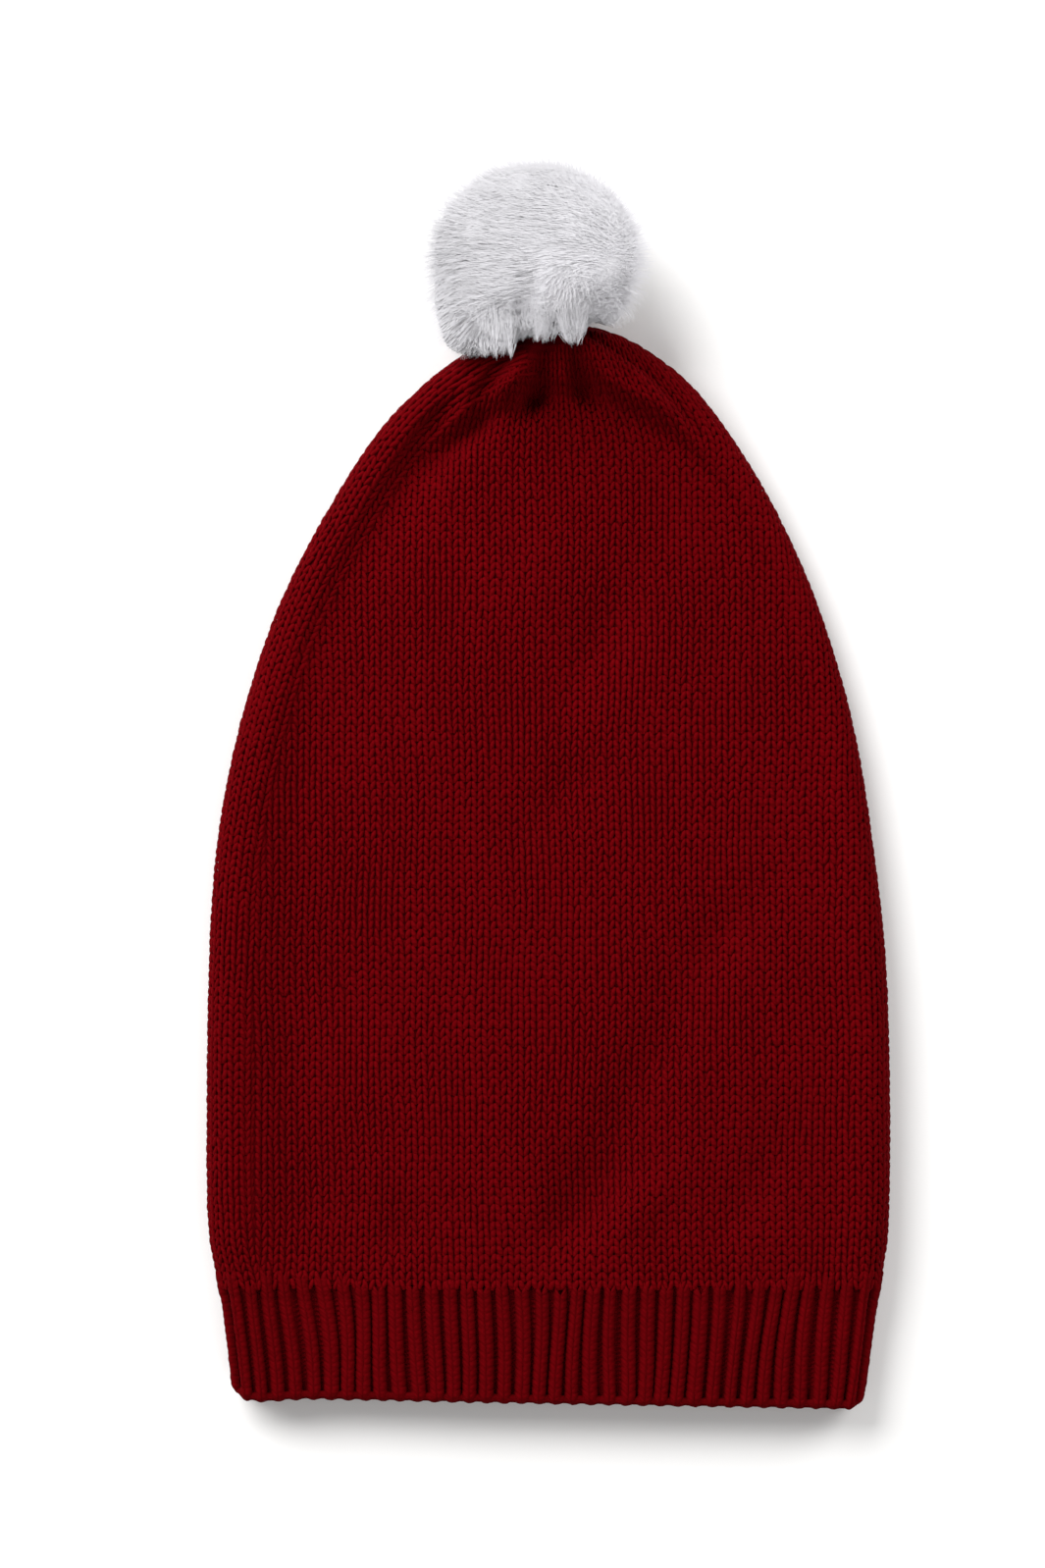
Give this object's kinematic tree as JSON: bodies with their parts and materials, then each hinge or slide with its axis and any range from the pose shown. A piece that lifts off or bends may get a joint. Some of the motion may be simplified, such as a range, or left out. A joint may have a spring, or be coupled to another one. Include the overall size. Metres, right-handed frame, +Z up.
{
  "type": "knitted santa hat",
  "caption": "Long knitted hat lying flat, with a hollow stockinette crown gathered at the tip, a ribbed band round the opening and a round fur pompom.",
  "frame": {"origin": "under the middle of the hat, on the surface that it lies on", "axes": "+Y from the hem towards the pompom, +X across the hat to the viewer's right, +Z up from the surface"},
  "size_m": [0.2084, 0.3798, 0.0529],
  "materials": {
    "knit": "matt knitted wool-blend yarn",
    "fur": "soft long faux-fur pile"
  },
  "bodies": {
    "root": {"crown": "knit", "rib_band": "knit", "pompom": "fur"}
  },
  "joints": []
}
